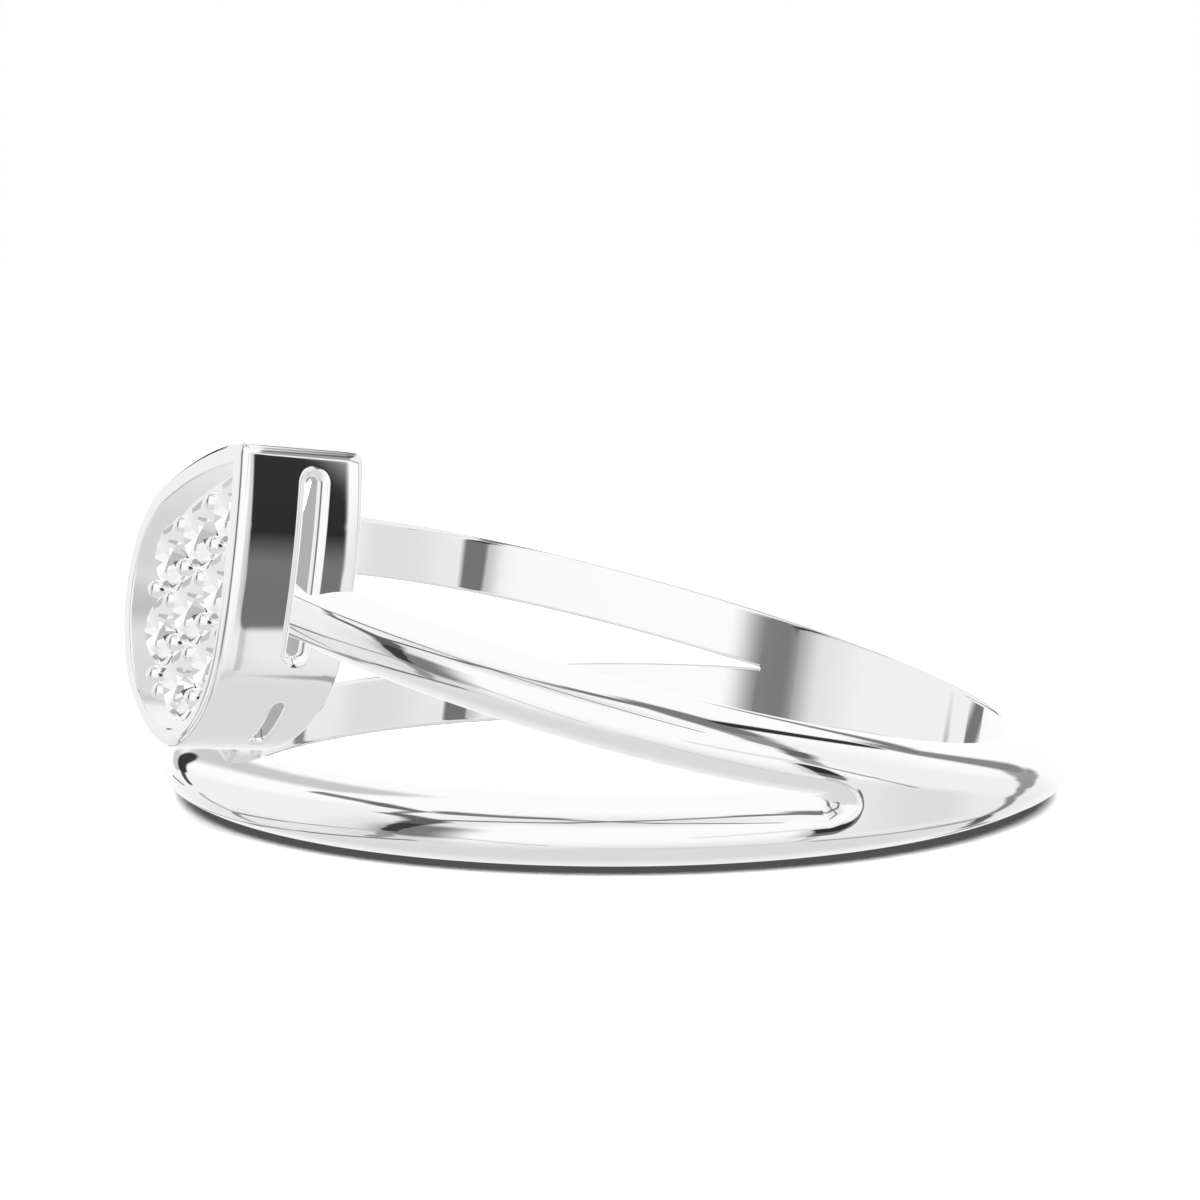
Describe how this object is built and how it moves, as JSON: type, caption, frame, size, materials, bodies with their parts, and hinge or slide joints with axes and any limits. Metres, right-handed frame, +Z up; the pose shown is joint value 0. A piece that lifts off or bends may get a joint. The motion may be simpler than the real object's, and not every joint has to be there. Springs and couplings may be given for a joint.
{
  "type": "split shank ring",
  "caption": "Half-round band that splits from its back into leaning loops, with a slanted teardrop head of small round brilliants held by bead prongs.",
  "frame": {"origin": "where the finger axis meets the surface that the ring lies on, on its side", "axes": "+Z up; the head faces -X and a little -Y, and the back of the ring is at +X; the finger axis leans 7.5 degrees from +Z towards +X"},
  "size_m": [0.0204, 0.0202, 0.0082],
  "materials": {
    "white_metal": "polished",
    "clear_stone": "polished"
  },
  "bodies": {
    "root": {"split_shank_and_head": "white_metal", "stone_1": "clear_stone", "stone_2": "clear_stone", "stone_3": "clear_stone", "stone_4": "clear_stone", "stone_5": "clear_stone", "stone_6": "clear_stone", "stone_7": "clear_stone", "stone_8": "clear_stone"}
  },
  "joints": []
}
